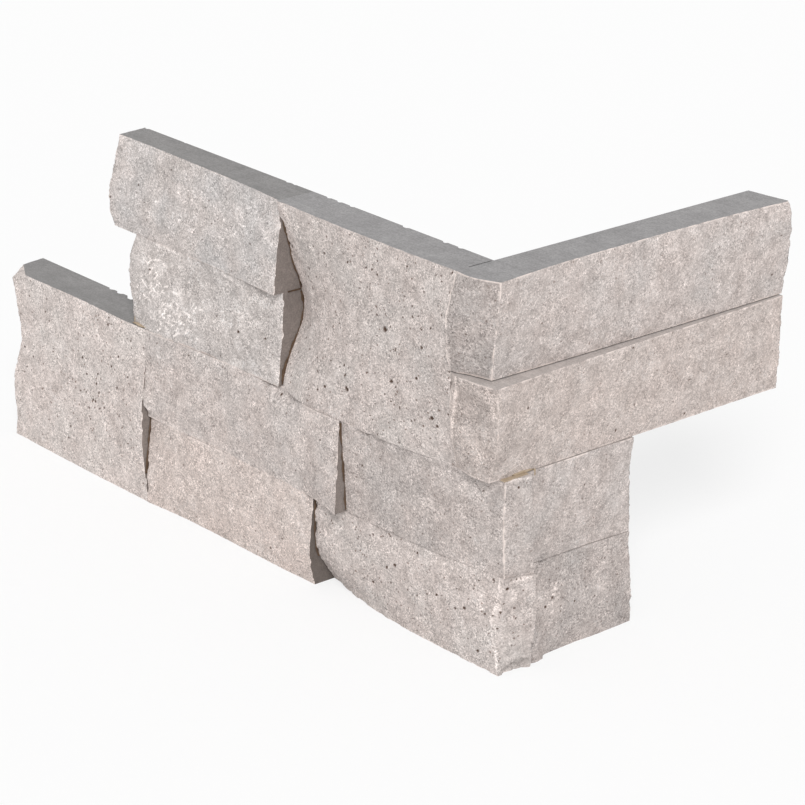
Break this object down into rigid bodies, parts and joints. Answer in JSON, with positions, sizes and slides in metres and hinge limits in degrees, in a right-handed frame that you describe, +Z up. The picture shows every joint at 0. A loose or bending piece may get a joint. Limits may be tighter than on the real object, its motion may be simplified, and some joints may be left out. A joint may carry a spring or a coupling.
{
  "type": "split-face stone veneer corner",
  "caption": "L-shaped corner of stacked split-face stone strips with sawn backs and stepped, broken ends that interlock with flat cladding pieces.",
  "frame": {"origin": "on the base plane, where the sawn back of the long leg meets the sawn back of the short leg", "axes": "+Z up through the courses; the long leg runs along -X with its split face towards -Y; the short leg runs along +Y with its split face towards +X"},
  "size_m": [0.3117, 0.1612, 0.1524],
  "materials": {
    "stone_grey": "split face, sawn beds and backs",
    "stone_cool": "split face with pale crystals, sawn beds and backs",
    "stone_pitted": "split face with small brown pits, sawn beds and backs",
    "stone_warm": "warm split face, sawn beds and backs",
    "adhesive": "cured adhesive"
  },
  "bodies": {
    "root": {"long_tall_end": "stone_pitted", "long_second_middle": "stone_grey", "long_second_through": "stone_grey", "long_base_middle": "stone_warm", "long_base_through": "stone_pitted", "long_third_end": "stone_cool", "long_top_end": "stone_grey", "long_tall_middle": "stone_pitted", "short_top": "stone_grey", "short_third": "stone_warm", "short_second": "stone_grey", "short_base": "stone_grey", "adhesive": "adhesive"}
  },
  "joints": []
}
